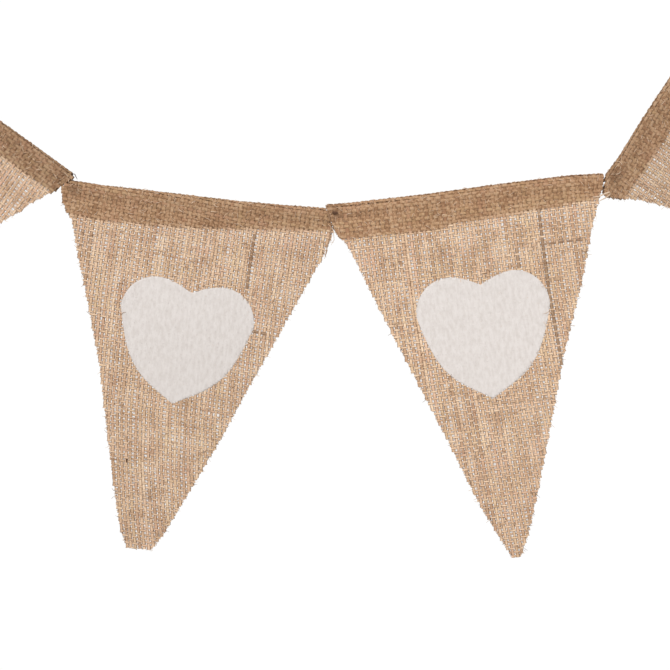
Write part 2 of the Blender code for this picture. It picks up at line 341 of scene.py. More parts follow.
# %% The thread tree
def new_thread_tree():
    """Inputs: half the thread's width and height, how far it rides up and down, its sides, its finish."""
    tree, node, given = new_tree("threads", (("Half Width", "Float"), ("Half Height", "Float"),
                                             ("Ride", "Float"), ("Sides", "Int"), ("Finish", "Material")))
    over, thick = (node("GeometryNodeInputNamedAttribute", {"Name": name}, out="Attribute", data_type="FLOAT")
                   for name in ("over", "thick"))
    rise = node("ShaderNodeMath", {0: over, 1: given["Ride"]}, operation="MULTIPLY")
    lift = node("ShaderNodeCombineXYZ", {"Z": rise})
    moved = node("GeometryNodeSetPosition", {"Geometry": given["Geometry"], "Offset": lift})
    lines = node("GeometryNodeMeshToCurve", {"Mesh": moved})
    level = node("GeometryNodeSetCurveNormal", {"Curve": lines}, mode="Z_UP")
    ring = node("GeometryNodeCurvePrimitiveCircle", {"Resolution": given["Sides"], "Radius": 1.0})
    spot = node("GeometryNodeInputPosition")
    marked = node("GeometryNodeStoreNamedAttribute", {"Geometry": ring, "Name": "ring", "Value": spot},
                  data_type="FLOAT_VECTOR", domain="POINT")
    size = node("ShaderNodeCombineXYZ", {"X": given["Half Width"], "Y": given["Half Height"], "Z": 1.0})
    section = node("GeometryNodeTransform", {"Geometry": marked, "Scale": size})
    tubes = node("GeometryNodeCurveToMesh", {"Curve": level, "Profile Curve": section, "Scale": thick,
                                             "Fill Caps": True})
    return close_tree(tree, node, tubes, given["Finish"])


thread_tree = new_thread_tree()


# %% Lines in, plain mesh out
def lines_mesh(name, lines, columns):
    """Loose edges through each line of points. columns holds one value a point for each named attribute."""
    points = np.concatenate(lines)
    starts = np.cumsum([0] + [len(line) for line in lines])
    first = np.concatenate([np.arange(a, b - 1) for a, b in zip(starts[:-1], starts[1:])])
    mesh = bpy.data.meshes.new(name)
    mesh.vertices.add(len(points))
    mesh.vertices.foreach_set("co", points.astype(np.float32).ravel())
    mesh.edges.add(len(first))
    mesh.edges.foreach_set("vertices", np.stack([first, first + 1], axis=1).astype(np.int32).ravel())
    for key, values in columns.items():
        made = mesh.attributes.new(key, "FLOAT", "POINT")
        made.data.foreach_set("value", np.concatenate(values).astype(np.float32))
    mesh.update()
    return mesh


def add_piece(name, mesh):
    """A smooth mesh as an object of its own."""
    mesh.polygons.foreach_set("use_smooth", np.ones(len(mesh.polygons), dtype=bool))
    piece = bpy.data.objects.new(name, mesh)
    scene.collection.objects.link(piece)
    return piece


def spin(tree, name, lines, columns, sizes):
    """Run a tree over lines in metres and return the result as a plain mesh object."""
    source = bpy.data.objects.new(name, lines_mesh(name, lines, columns))
    scene.collection.objects.link(source)
    grow = source.modifiers.new(tree.name, "NODES")
    grow.node_group = tree
    sockets = {s.name: s.identifier for s in tree.interface.items_tree if s.in_out == "INPUT"}
    for key, value in sizes.items():
        grow[sockets[key]] = value
    mesh = bpy.data.meshes.new_from_object(source.evaluated_get(bpy.context.evaluated_depsgraph_get()))
    bpy.data.objects.remove(source, do_unlink=True)
    mesh.name = name
    piece = add_piece(name, mesh)
    print(name, "has", sum(len(p.vertices) - 2 for p in mesh.polygons), "triangles")
    return piece


# %% [markdown]
# ## The weaver's plan
# Burlap is a plain weave: each yarn goes over one and under the next. The plan first makes a grid of
# crossings, a little uneven, as a cheap loom leaves it. Warp yarns then run down through the crossings and
# weft yarns run across them, one riding up where the other rides down. Both are cut off at the pennant's
# outline, which is where the raw sides with their loose yarn ends come from.

# %% The grid of crossings
WARP_PITCH = 2.385
WEFT_PITCH = 1.93
WAY_SIZE = {"warp": 1.22, "weft": 0.80}
THICK_NOISE = {"warp": 0.05, "weft": 0.09}
WAY_TONE = {"warp": (-0.9, 1.5), "weft": (0.9, 0.8)}
TONE_NOISE = 0.7
SPREAD_END = 1.3            # a cut yarn untwists and spreads
LOOM_LEFT, LOOM_RIGHT = -34.0, 176.0
LOOM_BOTTOM = 208.0
FLAP_WEFTS = 20.25          # how many wefts lie behind the fold
WANDER = 0.17               # how far a yarn strays from its place
WANDER_ALONE = {"warp": 16, "weft": 12}         # over how many crossings one yarn strays
WANDER_TOGETHER = {"warp": 22, "weft": 18}      # over how many all of them do
SHARED = {"warp": 0.6, "weft": 1.1}             # how far all do, beside one
YARN_WAVER = 0.07
FLAP_SHIFT = 0.5            # the flap's warp lies between the warp in front
FLAP_SHIFT_FADE = 4.0
OVERHANG = (0.0, 0.65)
TIP_FRAY = 0.3              # the tips are cut cleaner than the sides
TIP_LENGTH = 12.0
END_RIDE = 0.35             # a cut end rides less high than a crossing


def slow_noise(rng, count, every, rows=1):
    """Rows of smooth random values, a new value each so many steps."""
    knots = rng.normal(size=(rows, count // every + 4))
    at = np.arange(count) / every
    low = at.astype(int)
    mix = smooth(at - low)
    return knots[:, low] * (1 - mix) + knots[:, low + 1] * mix


# down, aside: how far the warp leans away from square as it goes down
LEANS = {
    "pennant_1": ((0, 0.0), (80, 0.8), (190, 3.0)),
    "pennant_2": ((0, 0.0), (33, -1.3), (60, -2.1), (115, -1.0), (142, 1.4), (168, 5.5), (190, 9.9)),
    "pennant_3": ((0, 0.0), (35, 0.3), (60, 0.7), (110, 3.1), (140, 5.1), (170, 6.9), (196, 8.6)),
    "pennant_4": ((0, 0.0), (80, -1.2), (190, -3.5)),
}
# how many millimetres the weft falls for each one to the right, since none was folded quite on the grain
WEFT_FALL = {"pennant_1": 0.01, "pennant_2": 0.082, "pennant_3": 0.003, "pennant_4": -0.03}


def crossings(hang, rng):
    """Where warp i meets weft j, flat and in millimetres, as two arrays."""
    ups = np.arange(-FLAP_WEFTS * WEFT_PITCH, LOOM_BOTTOM, WEFT_PITCH)
    alongs = np.arange(LOOM_LEFT, LOOM_RIGHT, WARP_PITCH)
    rows, cols = len(alongs), len(ups)
    along = alongs[:, None] + read(LEANS[hang.name], np.maximum(ups, 0.0))[None, :]
    along = along + rng.normal(size=(rows, 1)) * YARN_WAVER
    along = along + WANDER * slow_noise(rng, cols, WANDER_ALONE["warp"], rows)
    along = along + SHARED["warp"] * WANDER * slow_noise(rng, cols, WANDER_TOGETHER["warp"])
    reach = ups[None, :] + rng.normal(size=(1, cols)) * YARN_WAVER
    reach = reach + WANDER * slow_noise(rng, rows, WANDER_ALONE["weft"], cols).T
    reach = reach + SHARED["weft"] * WANDER * slow_noise(rng, rows, WANDER_TOGETHER["weft"])[0][:, None]
    reach = reach + WEFT_FALL[hang.name] * along
    along = along + FLAP_SHIFT * WARP_PITCH * smooth(-reach / FLAP_SHIFT_FADE)
    return along, reach


sample, _ = crossings(PENNANTS[1], np.random.default_rng(1))
print("grid of", sample.shape[0], "warp by", sample.shape[1], "weft yarns before cutting")


# %% [markdown]
# A yarn is cut where the outline passes between two crossings. Cutting the finished tubes with a boolean
# would leave clean flat ends, but frayed cloth has ends of uneven length, so each end is moved to the cut
# and then a random bit past it.

# %% Cutting a yarn at the outline
def cut_point(hang, kept, lost, rng):
    """The yarn's end on the way from a crossing that is kept to one that is not."""
    near, far = 0.0, 1.0
    for _ in range(9):
        half = (near + far) / 2
        p = kept + (lost - kept) * half
        if inside(hang, p[0], p[1]):
            near = half
        else:
            far = half
    way = lost - kept
    past = rng.uniform(*OVERHANG)
    if down_of(kept[1]) > SIDES[hang.name][-1][0] - TIP_LENGTH:
        past *= TIP_FRAY
    return kept + way * near + way / np.linalg.norm(way) * past


def run_of(line):
    """How far along its line each point lies."""
    return np.concatenate([[0], np.cumsum(np.linalg.norm(np.diff(line, axis=0), axis=1))])


def runs_of(mask):
    """Start and end (not included) of each stretch of True."""
    edges = np.flatnonzero(np.diff(np.concatenate([[0], mask.astype(int), [0]])))
    return list(zip(edges[::2], edges[1::2]))


def yarn_lines(hang, points, phase, rng):
    """Pieces of one yarn inside the outline: its points, and how it rides over or under at each."""
    held = inside(hang, points[:, 0], points[:, 1])
    for start, stop in runs_of(held):
        steps = [(points[k], phase * (-1) ** k) for k in range(start, stop)]
        if start > 0:
            end = cut_point(hang, points[start], points[start - 1], rng)
            steps.insert(0, (end, END_RIDE * phase * (-1) ** (start + 1)))
        if stop < len(points):
            end = cut_point(hang, points[stop - 1], points[stop], rng)
            steps.append((end, END_RIDE * phase * (-1) ** stop))
        if len(steps) > 2:
            yield np.array([spot for spot, _ in steps]), np.array([up for _, up in steps])


# %% [markdown]
# Jute is spun from coarse, short fibre, so a yarn swells into slubs, and one yarn is darker or redder than
# the next. The few strongest slubs of the photograph are listed. The others are random, from a
# fixed seed.

# %% Slubs and shades
SLUB_FADE = 5.0             # the ends of a listed slub are this soft, in millimetres
Slub = namedtuple("Slub", "cloth way at start stop swell dark")
SLUBS = (
    Slub("pennant_2", "warp", 98.2, 17, 50, 0.04, 0.60),
    Slub("pennant_2", "weft", 69.6, 101, 111, 0.25, 0.65),
    Slub("pennant_2", "warp", 57.6, 160, 165, 0.10, 0.30),
    Slub("pennant_3", "weft", 6.6, 4, 17, 0.10, 0.45),
    Slub("pennant_3", "warp", 111.5, 17, 104, 0.05, 0.62),
    Slub("pennant_3", "warp", 98.0, 34, 46, 0.0, 0.45),
    Slub("pennant_3", "weft", 34.6, 108, 133, 0.05, 0.66),
    Slub("pennant_3", "weft", 116.2, 74, 112, 0.20, 0.28),
    Slub("pennant_3", "weft", 54.5, 111, 119, 0.20, 0.35),
    Slub("pennant_1", "warp", 88.0, 30, 66, 0.30, 0.60),
    Slub("pennant_4", "weft", 52.0, 20, 46, 0.35, 0.60),
)


def slub_of(hang, way, line):
    """How much the listed slubs swell and darken each point of a yarn."""
    swell = np.zeros(len(line))
    dark = np.zeros(len(line))
    run, side = (line[:, 1], line[:, 0]) if way == "warp" else (line[:, 0], line[:, 1])
    pitch = WARP_PITCH if way == "warp" else WEFT_PITCH
    for slub in SLUBS:
        if slub.cloth != hang.name or slub.way != way:
            continue
        if abs(np.interp((slub.start + slub.stop) / 2, run, side) - slub.at) > pitch * 0.5:
            continue
        fade = smooth((run - slub.start) / SLUB_FADE + 0.5) * smooth((slub.stop - run) / SLUB_FADE + 0.5)
        swell += slub.swell * fade
        dark += slub.dark * fade
    return swell, dark


# Near a hem's end, close to the top, these are painted shadow in the mouth of the string's tunnel. The one
# low on pennant_2 is a dark spot in the jute.
StainAndShadow = namedtuple("StainAndShadow", "cloth along reach radius dark")
STAINS_AND_SHADOWS = (
    StainAndShadow("pennant_3", 3.6, 5.6, 2.6, 0.95),
    StainAndShadow("pennant_3", 3.5, 3.0, 7.0, 0.25),
    StainAndShadow("pennant_2", 1.5, 5.0, 5.0, 0.55),
    StainAndShadow("pennant_2", 57.6, 162.5, 3.4, 0.30),
    StainAndShadow("pennant_4", 1.0, 5.0, 5.0, 0.55),
    StainAndShadow("pennant_1", 138.0, 6.0, 5.0, 0.40),
)


def stain_and_shadow_of(hang, line):
    """How much the listed stains and painted shadows darken each point."""
    dark = np.zeros(len(line))
    for dark_place in STAINS_AND_SHADOWS:
        if dark_place.cloth == hang.name:
            off = np.hypot(line[:, 0] - dark_place.along, line[:, 1] - dark_place.reach)
            dark += dark_place.dark * smooth(1.4 * (1 - off / dark_place.radius))
    return dark


class Clouds:
    """Smooth random values over the flat cloth, with patches of one size in millimetres."""

    def __init__(self, rng, size):
        self.size = size
        self.knots = rng.normal(size=(40, 40))

    def at(self, along, reach):
        x, y = (along + 60) / self.size, (reach + 60) / self.size
        i, j = x.astype(int), y.astype(int)
        a, b = smooth(x - i), smooth(y - j)
        k = self.knots
        return ((k[i, j] * (1 - a) + k[i + 1, j] * a) * (1 - b)
                + (k[i, j + 1] * (1 - a) + k[i + 1, j + 1] * a) * b)


# %% The whole plan
CLOUD_SIZE = 9.0
CLOUD_SWELL = 0.035
YARN_SPREAD = 0.03          # how much one yarn differs in thickness from the next
BUMP_SWELL = 0.05
SPOT_FROM = 1.3             # only the highest bumps are spots, a little thicker and darker
SPOT_SWELL = 0.18
SPOT_DARK = 0.2
# painted shade along the top of the fold, over the string
FOLD_SHADE = 0.06
PRESSED = {"warp": 0.44, "weft": 0.62}          # how much wider a yarn lies in the glued, doubled hem
THINNEST, THICKEST = 0.6, 1.8
DARK_PULL = 2.0             # a dark slub also takes the tone of its yarn down
SLOW_TONE = 0.6


def weave_plan(hang, seed):
    """All yarn pieces of a pennant, with the named values that each point carries."""
    rng = np.random.default_rng(seed)
    along, reach = crossings(hang, rng)
    grid = np.stack([along, reach], axis=-1)
    clouds = Clouds(rng, CLOUD_SIZE)
    lines = []
    plan = {"over": [], "thick": [], "tone": [], "hue": [], "dark": [], "run": [], "double": []}
    yarns = [("warp", grid[i], 1 - 2 * (i % 2)) for i in range(grid.shape[0])]
    yarns += [("weft", grid[:, j], 2 * (j % 2) - 1) for j in range(grid.shape[1])]
    for way, points, phase in yarns:
        size, tone, hue = rng.normal(1.0, YARN_SPREAD), rng.normal(*WAY_TONE[way]), rng.normal(0.0, 1.0)
        for line, over in yarn_lines(hang, points, phase, rng):
            count = len(line)
            bumps = slow_noise(rng, count, 5)[0]
            swell, dark = slub_of(hang, way, line)
            spots = np.clip(slow_noise(rng, count, 4)[0] - SPOT_FROM, 0, 1.2)
            double = smooth((read(FLAPS[hang.name], line[:, 0]) + 1.0 - down_of(line[:, 1])) / 1.5)
            lines.append(np.column_stack([line * MM, np.zeros(count)]))
            cloud = CLOUD_SWELL * clouds.at(line[:, 0], line[:, 1])
            uneven = THICK_NOISE[way] * rng.normal(size=count)
            thick = size * WAY_SIZE[way] * (1 + BUMP_SWELL * bumps + uneven + cloud)
            thick = thick + swell + SPOT_SWELL * spots + PRESSED[way] * double
            thick[[0, -1]] *= SPREAD_END
            own = tone * (1 - np.clip(dark, 0, 1)) - DARK_PULL * dark
            own = own + SLOW_TONE * slow_noise(rng, count, 6)[0]
            own = own + TONE_NOISE * (1 + 0.5 * double) * rng.normal(size=count)
            # painted shade, strongest on the fold's top
            fold_shade = FOLD_SHADE * np.clip(1 - np.abs(line[:, 1]) / QUARTER, 0, 1)
            point_values = {
                # a dark warp slub is thick enough to ride on top all the way
                "over": over + np.clip(dark, 0, 0.8) * (1.3 - over) if way == "warp" else over,
                "thick": np.clip(thick, THINNEST, THICKEST),
                "tone": own,
                "double": double,
                "hue": np.full(count, hue),
                # dark holds the slubs, spots and stains, and also painted shade on the fold and painted
                # shadow at the hems' ends
                "dark": np.clip(dark + SPOT_DARK * spots + fold_shade + stain_and_shadow_of(hang, line), 0, 1),
                "run": run_of(line) + rng.uniform(0, 50),
            }
            for key, values in point_values.items():
                plan[key].append(values)
    return lines, plan, grid


print(len(weave_plan(PENNANTS[1], 2)[0]), "yarn pieces in one pennant")

# %% [markdown]
# ## The heart
# The print is a plain heart in thick white paint. A few curves describe it: two shallow humps meet in a
# small notch on top, and two full sides run down to the point. The same curves are written twice, once for
# arrays, to say which holes of the weave the paint has filled, and once as shader maths, to colour the
# yarns themselves.

# %% The heart's curves
Heart = namedtuple("Heart", "along turn top")
HEARTS = {
    "pennant_1": Heart(69.5, 1.0, 46.3),
    "pennant_2": Heart(68.0, 3.6, 46.9),
    "pennant_3": Heart(76.0, 0.0, 45.9),
    "pennant_4": Heart(60.5, -1.5, 46.3),
}
HEART_HALF = 35.6
HEART_MIDDLE = 65.2         # widest place, down from the fold
HEART_HUMP = 17.4
HEART_NOTCH = 5.8
HEART_POINT = 112.0
HEART_SLOPE = 0.58
HEART_FULL = 4.8            # how late the sides turn from the straight lower part to upright
HEART_NOTCH_BEND = 1.7


def heart_frame(name, along, down):
    """Turn the heart upright about its widest place."""
    heart = HEARTS[name]
    a = math.radians(heart.turn)
    x, y = along - heart.along, down - HEART_MIDDLE
    return x * math.cos(a) + y * math.sin(a), y * math.cos(a) - x * math.sin(a) + HEART_MIDDLE


def in_heart(name, along, down):
    """How many millimetres inside the heart a flat point lies, measured up and down."""
    x, y = heart_frame(name, along, down)
    spare = HEART_HALF - np.abs(x)
    x = np.minimum(np.abs(x), HEART_HALF)
    inner = HEART_NOTCH * np.maximum(1 - x / HEART_HUMP, 0.0) ** HEART_NOTCH_BEND
    outer = np.clip((x - HEART_HUMP) / (HEART_HALF - HEART_HUMP), 0, 1)
    highest = HEARTS[name].top
    top = highest + inner + (HEART_MIDDLE - highest) * (1 - np.sqrt(1 - outer ** 2))
    rest = HEART_POINT - HEART_MIDDLE - HEART_SLOPE * HEART_HALF
    bottom = HEART_POINT - HEART_SLOPE * x - rest * (x / HEART_HALF) ** HEART_FULL
    return np.minimum(np.minimum(y - top, bottom - y), spare)


print("heart is", 2 * HEART_HALF, "mm wide, about", round(HEART_POINT - HEARTS["pennant_3"].top), "mm high")

# %% [markdown]
# ## Finishes as Python expressions
# A small class wraps a node's output, so that shader maths reads like ordinary sums. Colours are mixed by
# Mix nodes, because a Math node would turn them grey.

# %% A wrapper for shader sockets
class Wire:
    """An output socket that Math nodes can be hung on with + - * / and **."""

    def __init__(self, finish, socket):
        self.finish = finish
        self.socket = socket

    def math(self, operation, a, b=0.0):
        return self.finish.node("ShaderNodeMath", {0: a, 1: b}, operation=operation)

    def __add__(self, other):
        return self.math("ADD", self, other)

    def __radd__(self, other):
        return self.math("ADD", other, self)

    def __sub__(self, other):
        return self.math("SUBTRACT", self, other)

    def __rsub__(self, other):
        return self.math("SUBTRACT", other, self)

    def __mul__(self, other):
        return self.math("MULTIPLY", self, other)

    def __rmul__(self, other):
        return self.math("MULTIPLY", other, self)

    def __truediv__(self, other):
        return self.math("DIVIDE", self, other)

    def __pow__(self, other):
        return self.math("POWER", self, other)

    def low(self, other):
        return self.math("MINIMUM", self, other)

    def high(self, other):
        return self.math("MAXIMUM", self, other)

    def size(self):
        return self.math("ABSOLUTE", self)


class Finish:
    """A material whose nodes are made by one method."""

    def __init__(self, name, roughness):
        self.material = bpy.data.materials.new(name)
        self.material.use_nodes = True
        self.tree = self.material.node_tree
        self.shader = self.tree.nodes["Principled BSDF"]
        self.shader.inputs["Roughness"].default_value = roughness

    def node(self, kind, values=(), out=0, stops=None, **settings):
        """Make a node: its settings first, then its ramp's stops, then values or links for its sockets."""
        made = self.tree.nodes.new(kind)
        for key, value in settings.items():
            setattr(made, key, value)
        for k, (spot, colour) in enumerate(stops or ()):
            stop = made.color_ramp.elements[k] if k < 2 else made.color_ramp.elements.new(spot)
            stop.position = spot
            stop.color = colour
        for key, value in dict(values).items():
            if isinstance(value, Wire):
                self.tree.links.new(value.socket, made.inputs[key])
            else:
                made.inputs[key].default_value = value
        return Wire(self, made.outputs[out])

    def named(self, name, out="Fac"):
        return self.node("ShaderNodeAttribute", attribute_name=name, out=out)

    def mix(self, share, a, b):
        """Mix two colours."""
        return self.node("ShaderNodeMix", {0: share, 6: a, 7: b}, out=2, data_type="RGBA")

    def times(self, a, b):
        """Multiply two colours."""
        return self.node("ShaderNodeMix", {0: 1.0, 6: a, 7: b}, out=2, data_type="RGBA",
                         blend_type="MULTIPLY")

    def noise(self, where, scale, detail=2.0):
        return self.node("ShaderNodeTexNoise", {"Vector": where, "Scale": scale, "Detail": detail}, out="Fac")

    def step(self, value, start, stop):
        """0 below start, 1 above stop, soft between."""
        return self.node("ShaderNodeMapRange", {0: value, 1: start, 2: stop, 3: 0.0, 4: 1.0},
                         interpolation_type="SMOOTHSTEP")

    def drive(self, socket, wire):
        self.tree.links.new(wire.socket, self.shader.inputs[socket])


def colour(red, green, blue):
    """A colour given as it looks on a screen, from 0 to 255, turned into the linear values that nodes use."""
    line = [v / 255 for v in (red, green, blue)]
    return (*[v / 12.92 if v <= 0.04045 else ((v + 0.055) / 1.055) ** 2.4 for v in line], 1.0)


print("wrapper ready:", colour(128, 128, 128)[0])

# %% [markdown]
# ## Jute with paint on it
# The yarn's colour comes from what each point carries: a tone and a hue for the whole yarn, darker slubs,
# and fine streaks that wind round the yarn as its fibres do. The flat place of each point is kept on the
# mesh, so the heart stays on the cloth however it hangs. Paint covers only what faces the front. Each
# yarn's two sides, the top of the fold and the doubled hem are drawn darker as painted shade.

# %% The jute finish
JUTE_PALE = colour(254, 226, 196)
JUTE_MID = colour(235, 199, 165)
JUTE_DEEP = colour(194, 156, 123)
JUTE_GOLD = colour(238, 209, 168)
JUTE_RED = colour(229, 183, 156)
JUTE_DARK = colour(112, 80, 56)
# painted shade: each yarn's two sides are drawn darker than its top, as they lie in shade from the upper left
JUTE_FLANK_SHADE = colour(104, 68, 44)
FLANK_SHADE_SHARE = 0.80          # how much darker a yarn's two sides are than its top
# how much of that shows in the hem, where the yarns lie close
HEM_FLANK_SHADE = {"pennant_1": 0.4, "pennant_2": 0.4, "pennant_3": 0.16, "pennant_4": 0.4}
# painted shade: the yarns of the doubled hem are drawn darker, for the shade between its two layers
HEM_SHADE_TINT = colour(209, 195, 180)
PAINT = colour(233, 226, 222)
# painted shade: darker paint in streaks along the warp, for the weave's ridges under the paint
PAINT_IN_SHADE = colour(221, 213, 208)
SCREEN = 2.2                # shades are given as they look on a screen
# how bright each pennant's cloth is, how bright its hem's painted shade is beside that, and how bright its
# paint
SHADES = {"pennant_1": (0.968, 0.895, 1.0), "pennant_2": (0.98, 0.96, 0.978),
          "pennant_3": (1.02, 0.962, 1.008), "pennant_4": (0.932, 0.985, 1.0)}
PER_METRE = 1000            # the flat place is kept in metres, the tables are in millimetres
PATCHES = 95.0              # noise scales: patches of cloth, then the frayed rim of the print
FRAY = 700.0


def heart_mask(finish, name, along, down):
    """The heart's curves again, as shader maths. 1 where the paint is."""
    heart = HEARTS[name]
    a = math.radians(heart.turn)
    x = along - heart.along
    y = down - HEART_MIDDLE
    turned = x * math.cos(a) + y * math.sin(a)
    y = y * math.cos(a) - x * math.sin(a) + HEART_MIDDLE
    spare = HEART_HALF - turned.size()
    x = turned.size().low(HEART_HALF)
    inner = (1 - x / HEART_HUMP).high(0.0) ** HEART_NOTCH_BEND * HEART_NOTCH
    outer = ((x - HEART_HUMP) / (HEART_HALF - HEART_HUMP)).high(0.0)
    top = inner + heart.top + (1 - (1 - outer * outer).high(0.0) ** 0.5) * (HEART_MIDDLE - heart.top)
    rest = HEART_POINT - HEART_MIDDLE - HEART_SLOPE * HEART_HALF
    bottom = HEART_POINT - x * HEART_SLOPE - (x / HEART_HALF) ** HEART_FULL * rest
    return finish.step((y - top).low(bottom - y).low(spare), -0.4, 0.1)


def paint_colour(finish, name, flat):
    """White paint with faint darker streaks along the warp, painted shade where the weave's ridges show
    through.
    """
    shade = SHADES[name][2] ** SCREEN
    drawn = finish.node("ShaderNodeVectorMath", {0: flat, 1: (1.0, 0.4, 1.0)}, operation="MULTIPLY")
    streak = finish.step(finish.noise(drawn, 600.0, 3.0), 0.3, 0.75)
    pale, shaded_paint = ((*[v * shade for v in tint[:3]], 1.0) for tint in (PAINT, PAINT_IN_SHADE))
    return finish.mix(streak, pale, shaded_paint)


def jute_finish(name):
    finish = Finish("jute_" + name, 0.9)
    flat = finish.named("flat", "Vector")
    along, reach, height = (finish.node("ShaderNodeSeparateXYZ", {0: flat}, out=axis) * PER_METRE
                            for axis in "XYZ")
    ring = finish.named("ring", "Vector")
    side = finish.node("ShaderNodeSeparateXYZ", {0: ring}, out="X")
    up = finish.node("ShaderNodeSeparateXYZ", {0: ring}, out="Y")
    angle = finish.node("ShaderNodeMath", {0: up, 1: side}, operation="ARCTAN2")
    run = finish.named("run")
    twist = finish.node("ShaderNodeMath", {0: angle * 2 + run * 2.6}, operation="SINE")
    where = finish.node("ShaderNodeCombineXYZ", {"X": run * 0.35, "Y": angle * 0.9 + run * 1.2,
                                                 "Z": finish.named("hue") * 7})
    fibre = finish.noise(where, 2.2, 3.0)
    cloud = finish.noise(flat, PATCHES)
    double = finish.named("double")
    speckle = (finish.noise(flat, 1000.0) - 0.5) * (double * 1.5 + 0.5)
    tone = finish.named("tone") * 0.08 + 0.5 + (fibre - 0.5) * 0.8 + (cloud - 0.5) * 1.0
    tone = tone + twist * 0.04 + speckle
    base = finish.node("ShaderNodeValToRGB", {0: tone}, stops=(
        (0.12, JUTE_DEEP), (0.92, JUTE_PALE), (0.52, JUTE_MID)))
    elsewhere = finish.node("ShaderNodeVectorMath", {0: flat, 1: (0.3, 0.1, 0.2)}, operation="ADD")
    drift = finish.noise(elsewhere, PATCHES)
    hue = finish.named("hue") * 0.5 + (drift - 0.5) * 4.5
    base = finish.mix(finish.step(hue, 0.1, 1.6) * 0.5, base, JUTE_GOLD)
    base = finish.mix(finish.step(hue * -1, 0.1, 1.6) * 0.5, base, JUTE_RED)
    # painted shade on each yarn's two sides, weaker in the hem
    flank_shade = finish.step(side.size(), 0.5, 1.0) * FLANK_SHADE_SHARE * (1 - double * (1 - HEM_FLANK_SHADE[name]))
    base = finish.mix(flank_shade, base, JUTE_FLANK_SHADE)
    cloth_shade, hem_shade, _ = (v ** SCREEN for v in SHADES[name])
    base = finish.times(base, (cloth_shade, cloth_shade, cloth_shade, 1.0))
    # the doubled hem is drawn darker as painted shade
    hem = finish.times(base, (*[v * hem_shade for v in HEM_SHADE_TINT[:3]], 1.0))
    base = finish.mix(double, base, hem)
    # darker slubs, spots and stains, with painted shade on the fold and painted shadow at the hems' ends
    base = finish.mix(finish.named("dark"), base, JUTE_DARK)
    frayed = finish.noise(flat, FRAY)
    mask = heart_mask(finish, name, along + (frayed - 0.5) * 0.8,
                      reach + (STRING_DEPTH - QUARTER) + (frayed - 0.5) * 0.6)
    mask = mask * finish.step(height, -0.12, 0.06) * finish.step(reach, 2.0, 3.0)
    thin = finish.noise(flat, 900.0, 3.0)
    mask = mask * (1 - finish.step(thin, 0.60, 0.80) * 0.25)
    finish.drive("Base Color", finish.mix(mask, base, paint_colour(finish, name, flat)))
    finish.drive("Roughness", 0.92 - mask * 0.22)
    ridges = (twist * 0.5 + fibre * 1.4) * (1 - mask * 0.7)
    bump = finish.node("ShaderNodeBump", {"Strength": 0.5, "Distance": 0.00012, "Height": ridges})
    finish.drive("Normal", bump)
    return finish.material


jute = {hang.name: jute_finish(hang.name) for hang in PENNANTS}
print("jute finishes:", sorted(jute))

# %% [markdown]
# ## Weaving the four pennants
# Now the plan, the tree and the hanging shape come together. The tubes are spun flat, each point's flat
# place is written on the mesh, and only then is the mesh laid over the string. Flat, the second number
# grows downwards, so the hanging mesh is a mirror image of the flat one, and its faces are flipped to point
# outwards again.

# %% Weave and hang
YARN_HALF_WIDTH = 0.66
YARN_HALF_HEIGHT = 0.18
YARN_RIDE = 0.24
WEAVE_SEED = 40


def lay_flat_mesh(piece, hang):
    """Keep each vertex's flat place as an attribute, then move it onto the hanging shape."""
    mesh = piece.data
    flat = np.empty(len(mesh.vertices) * 3, dtype=np.float32)
    mesh.vertices.foreach_get("co", flat)
    kept = mesh.attributes.new("flat", "FLOAT_VECTOR", "POINT")
    kept.data.foreach_set("vector", flat)
    placed = hang_points(hang, flat.reshape(-1, 3).astype(float) / MM)
    mesh.vertices.foreach_set("co", placed.astype(np.float32).ravel())
    mesh.flip_normals()
    mesh.update()


def weave(hang, seed):
    lines, plan, grid = weave_plan(hang, seed)
    sizes = {"Half Width": YARN_HALF_WIDTH * MM, "Half Height": YARN_HALF_HEIGHT * MM,
             "Ride": YARN_RIDE * MM, "Sides": 6, "Finish": jute[hang.name]}
    piece = spin(thread_tree, hang.name + "_weave", lines, plan, sizes)
    lay_flat_mesh(piece, hang)
    return piece, grid


woven = {}
grids = {}
for number, hang in enumerate(PENNANTS):
    woven[hang.name], grids[hang.name] = weave(hang, WEAVE_SEED + number)

# %% [markdown]
# ## Paint in the holes
# On the real print no light shows through the heart, because thick paint bridges the small holes. A film
# between the yarns does this: four little faces for each hole, a bit lower in the middle where the paint
# sank in. A Solidify modifier gives the film its thickness, to the back, so that it is closed.

# %% The paint film
FILM_HEIGHT = 0.30
FILM_SUNK = 0.14
FILM_THICKNESS = 0.08
FILM_FROM = 3.0             # no film on the fold
FILM_KEEP = 0.15            # a face is kept when a corner lies this far inside the heart


def paint_finish(name):
    finish = Finish("white_paint_" + name, 0.72)
    flat = finish.named("flat", "Vector")
    finish.drive("Base Color", paint_colour(finish, name, flat))
    grain = finish.noise(flat, 2600.0)
    bump = finish.node("ShaderNodeBump", {"Strength": 0.4, "Distance": 0.0001, "Height": grain})
    finish.drive("Normal", bump)
    return finish.material


def to_rim(name, spots):
    """Move points that lie outside the heart onto its outline."""
    spots = spots.copy()
    for _ in range(5):
        depth = np.minimum(in_heart(name, spots[:, 0], down_of(spots[:, 1])), 0.0)
        slope = np.stack([(in_heart(name, spots[:, 0] + dx, down_of(spots[:, 1] + dy))
                           - in_heart(name, spots[:, 0] - dx, down_of(spots[:, 1] - dy))) / 0.1
                          for dx, dy in ((0.05, 0.0), (0.0, 0.05))], axis=1)
        steep = np.maximum((slope ** 2).sum(axis=1), 0.2)
        spots = spots - np.clip(depth / steep, -0.8, 0.0)[:, None] * slope
    return spots


